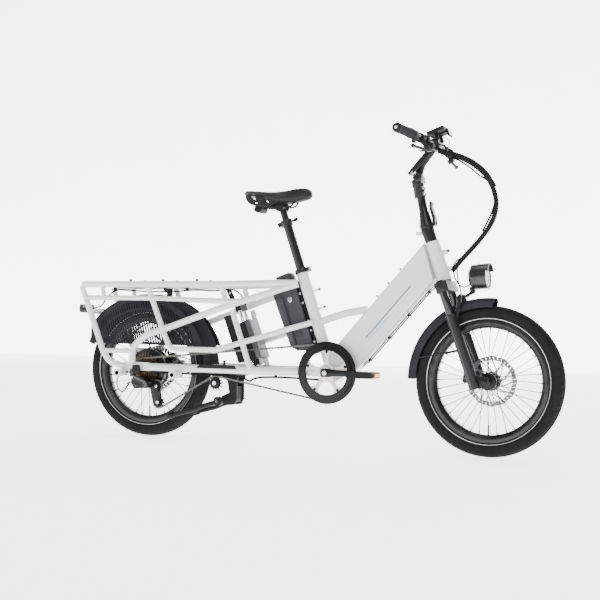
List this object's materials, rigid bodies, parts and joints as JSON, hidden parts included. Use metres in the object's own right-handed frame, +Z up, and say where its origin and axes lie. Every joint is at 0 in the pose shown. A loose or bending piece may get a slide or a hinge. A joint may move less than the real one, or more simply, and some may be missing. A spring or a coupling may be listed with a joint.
{
  "type": "cargo bicycle",
  "caption": "Long-tail electric cargo bicycle with a long rear rack, folding handlebar post, sprung fork, derailleur drive and double-leg stand.",
  "frame": {"origin": "on the ground under the middle of the bicycle's length, on its centre plane", "axes": "+X forward, +Y to the rider's left, +Z up"},
  "size_m": [1.944, 0.6842, 1.1621],
  "materials": {
    "frame_paint": "gloss",
    "black_metal": "satin",
    "fork_metal": "matte",
    "tyre_rubber": "matte",
    "rim_metal": "satin",
    "spoke_steel": "polished",
    "rotor_steel": "brushed",
    "chain_steel": "polished",
    "cog_steel": "bronze tint",
    "spider_alloy": "satin",
    "grip_rubber": "matte",
    "black_plastic": "textured",
    "battery_plastic": "satin",
    "saddle_skin": "soft matte synthetic",
    "hardware_steel": "dark zinc",
    "lamp_plastic": "gloss with clear lens",
    "tail_plastic": "red lens on black housing",
    "cable_plastic": "wrapped"
  },
  "bodies": {
    "frame": {"main_frame": "frame_paint", "chainstays": "frame_paint", "rack_sides": "frame_paint", "cross_tubes": "frame_paint", "rear_fender": "black_plastic", "wheel_guards": "black_plastic", "tail_light": "tail_plastic", "controller_box": "black_plastic", "battery_dock": "black_metal", "kickstand_bracket": "black_metal", "rear_caliper": "black_metal", "rear_derailleur": "black_metal", "chain": "chain_steel", "rear_axle": "hardware_steel", "seat_collar": "black_metal", "frame_hardware": "hardware_steel", "cables": "cable_plastic"},
    "battery": {"battery": "battery_plastic"},
    "crank": {"chainring": "black_metal", "crank_spider": "spider_alloy", "crank_arms": "black_metal"},
    "right_pedal": {"right_pedal": "black_plastic"},
    "left_pedal": {"left_pedal": "black_plastic"},
    "freewheel": {"freewheel": "cog_steel"},
    "rear_wheel": {"rear_tyre": "tyre_rubber", "rear_rim": "rim_metal", "rear_spokes": "spoke_steel", "hub_motor": "black_metal", "rear_rotor": "rotor_steel"},
    "idler": {"idler_pulley": "black_plastic"},
    "upper_jockey": {"upper_jockey_wheel": "black_plastic"},
    "lower_jockey": {"lower_jockey_wheel": "black_plastic"},
    "steering": {"fork_crown": "fork_metal"},
    "fork_lowers": {"fork_lowers": "fork_metal", "front_fender": "black_plastic", "front_caliper": "black_metal"},
    "headlight": {"headlight": "lamp_plastic"},
    "front_wheel": {"front_tyre": "tyre_rubber", "front_rim": "rim_metal", "front_spokes": "spoke_steel", "front_hub": "black_metal", "front_rotor": "rotor_steel"},
    "handlepost": {"handlepost": "black_metal"},
    "post_latch": {"post_latch": "black_metal"},
    "stem": {"stem_arm": "black_metal", "handlebar": "black_metal", "grips": "grip_rubber", "cockpit_controls": "black_plastic"},
    "stem_lever": {"stem_lever": "black_metal"},
    "right_brake_lever": {"right_brake_lever": "black_metal"},
    "left_brake_lever": {"left_brake_lever": "black_metal"},
    "throttle": {"throttle": "black_plastic"},
    "shifter_lever": {"shifter_lever": "black_metal"},
    "seatpost_outer": {"seatpost_outer": "black_metal"},
    "seatpost_inner": {"seatpost_inner": "black_metal"},
    "saddle": {"saddle_cover": "saddle_skin", "saddle_base": "black_plastic"},
    "lower_clamp_lever": {"lower_clamp_lever": "black_metal"},
    "upper_clamp_lever": {"upper_clamp_lever": "black_metal"},
    "kickstand": {"kickstand_legs": "black_metal"}
  },
  "joints": [
    {"name": "battery_slide", "type": "slide", "parent": "frame", "child": "battery", "axis": [-0.3355, 0, 0.9421], "range_m": [0, 0.15]},
    {"name": "crank_spin", "type": "hinge", "parent": "frame", "child": "crank", "pos_m": [0.119, 0, 0.276], "axis": [0, 1, 0], "continuous": true},
    {"name": "right_pedal_spin", "type": "hinge", "parent": "crank", "child": "right_pedal", "pos_m": [0.289, -0.138, 0.276], "axis": [0, 1, 0], "continuous": true},
    {"name": "left_pedal_spin", "type": "hinge", "parent": "crank", "child": "left_pedal", "pos_m": [-0.051, 0.138, 0.276], "axis": [0, 1, 0], "continuous": true},
    {"name": "freewheel_spin", "type": "hinge", "parent": "frame", "child": "freewheel", "pos_m": [-0.655, -0.052, 0.265], "axis": [0, 1, 0], "continuous": true},
    {"name": "idler_spin", "type": "hinge", "parent": "frame", "child": "idler", "pos_m": [-0.339, -0.052, 0.221], "axis": [0, 1, 0], "continuous": true},
    {"name": "upper_jockey_spin", "type": "hinge", "parent": "frame", "child": "upper_jockey", "pos_m": [-0.593, -0.052, 0.199], "axis": [0, 1, 0], "continuous": true},
    {"name": "lower_jockey_spin", "type": "hinge", "parent": "frame", "child": "lower_jockey", "pos_m": [-0.585, -0.052, 0.137], "axis": [0, 1, 0], "continuous": true},
    {"name": "rear_wheel_spin", "type": "hinge", "parent": "frame", "child": "rear_wheel", "pos_m": [-0.655, 0, 0.265], "axis": [0, 1, 0], "continuous": true},
    {"name": "steering", "type": "hinge", "parent": "frame", "child": "steering", "pos_m": [0.54, 0, 0.614], "axis": [-0.342, 0, 0.9397], "range_deg": [-40, 40], "deforming": ["cables"]},
    {"name": "fork_travel", "type": "slide", "parent": "steering", "child": "fork_lowers", "axis": [-0.342, 0, 0.9397], "range_m": [0, 0.04], "stiffness_N_per_m": 9000, "springref_m": -0.03, "deforming": ["cables"]},
    {"name": "front_wheel_spin", "type": "hinge", "parent": "fork_lowers", "child": "front_wheel", "pos_m": [0.707, 0, 0.265], "axis": [0, 1, 0], "continuous": true},
    {"name": "headlight_tilt", "type": "hinge", "parent": "fork_lowers", "child": "headlight", "pos_m": [0.643, 0, 0.578], "axis": [0, 1, 0], "range_deg": [-10, 20]},
    {"name": "post_fold", "type": "hinge", "parent": "steering", "child": "handlepost", "pos_m": [0.471, 0.027, 0.803], "axis": [-0.9781, 0, -0.2079], "range_deg": [0, 80], "deforming": ["cables"]},
    {"name": "post_latch_open", "type": "hinge", "parent": "handlepost", "child": "post_latch", "pos_m": [0.49868, 0, 0.81706], "axis": [0, 1, 0], "range_deg": [0, 70]},
    {"name": "stem_angle", "type": "hinge", "parent": "handlepost", "child": "stem", "pos_m": [0.437, 0, 0.985], "axis": [0, 1, 0], "range_deg": [-20, 20], "deforming": ["cables"]},
    {"name": "stem_lever_open", "type": "hinge", "parent": "stem", "child": "stem_lever", "pos_m": [0.469, 0, 1.068], "axis": [0, 1, 0], "range_deg": [0, 60]},
    {"name": "right_brake_squeeze", "type": "hinge", "parent": "stem", "child": "right_brake_lever", "pos_m": [0.511, -0.15, 1.064], "axis": [-0.8879, 0, -0.46], "range_deg": [0, 12], "stiffness_Nm_per_rad": 1.5, "springref_deg": -11.46},
    {"name": "left_brake_squeeze", "type": "hinge", "parent": "stem", "child": "left_brake_lever", "pos_m": [0.511, 0.15, 1.064], "axis": [0.8879, 0, 0.46], "range_deg": [0, 12], "stiffness_Nm_per_rad": 1.5, "springref_deg": -11.46},
    {"name": "throttle_twist", "type": "hinge", "parent": "stem", "child": "throttle", "pos_m": [0.4819, -0.205, 1.10552], "axis": [-0.1384, -0.9898, 0.0346], "range_deg": [0, 40], "stiffness_Nm_per_rad": 0.3, "springref_deg": -17.19},
    {"name": "shift_press", "type": "hinge", "parent": "stem", "child": "shifter_lever", "pos_m": [0.507, -0.109, 1.064], "axis": [0, 0, 1], "range_deg": [-20, 0], "stiffness_Nm_per_rad": 0.5, "springref_deg": 11.46},
    {"name": "outer_post_height", "type": "slide", "parent": "frame", "child": "seatpost_outer", "axis": [-0.3355, 0, 0.9421], "range_m": [-0.1, 0.06]},
    {"name": "inner_post_height", "type": "slide", "parent": "seatpost_outer", "child": "seatpost_inner", "axis": [-0.3355, 0, 0.9421], "range_m": [-0.01, 0.1]},
    {"name": "saddle_tilt", "type": "hinge", "parent": "seatpost_inner", "child": "saddle", "pos_m": [-0.10019, 0, 0.89063], "axis": [0, 1, 0], "range_deg": [-6, 6]},
    {"name": "lower_clamp_open", "type": "hinge", "parent": "frame", "child": "lower_clamp_lever", "pos_m": [0.01334, 0.017, 0.65825], "axis": [0.3355, 0, -0.9421], "range_deg": [0, 90]},
    {"name": "upper_clamp_open", "type": "hinge", "parent": "seatpost_outer", "child": "upper_clamp_lever", "pos_m": [-0.10671, 0.017, 0.82249], "axis": [-0.3355, 0, 0.9421], "range_deg": [0, 90]},
    {"name": "kickstand_swing", "type": "hinge", "parent": "frame", "child": "kickstand", "pos_m": [-0.31, 0, 0.155], "axis": [0, -1, 0], "range_deg": [0, 100]}
  ],
  "couplings": [
    {"joint": "freewheel_spin", "follows": "crank_spin", "ratio": 2.6},
    {"joint": "idler_spin", "follows": "crank_spin", "ratio": -4},
    {"joint": "upper_jockey_spin", "follows": "crank_spin", "ratio": -4.7273},
    {"joint": "lower_jockey_spin", "follows": "crank_spin", "ratio": 4.7273}
  ]
}
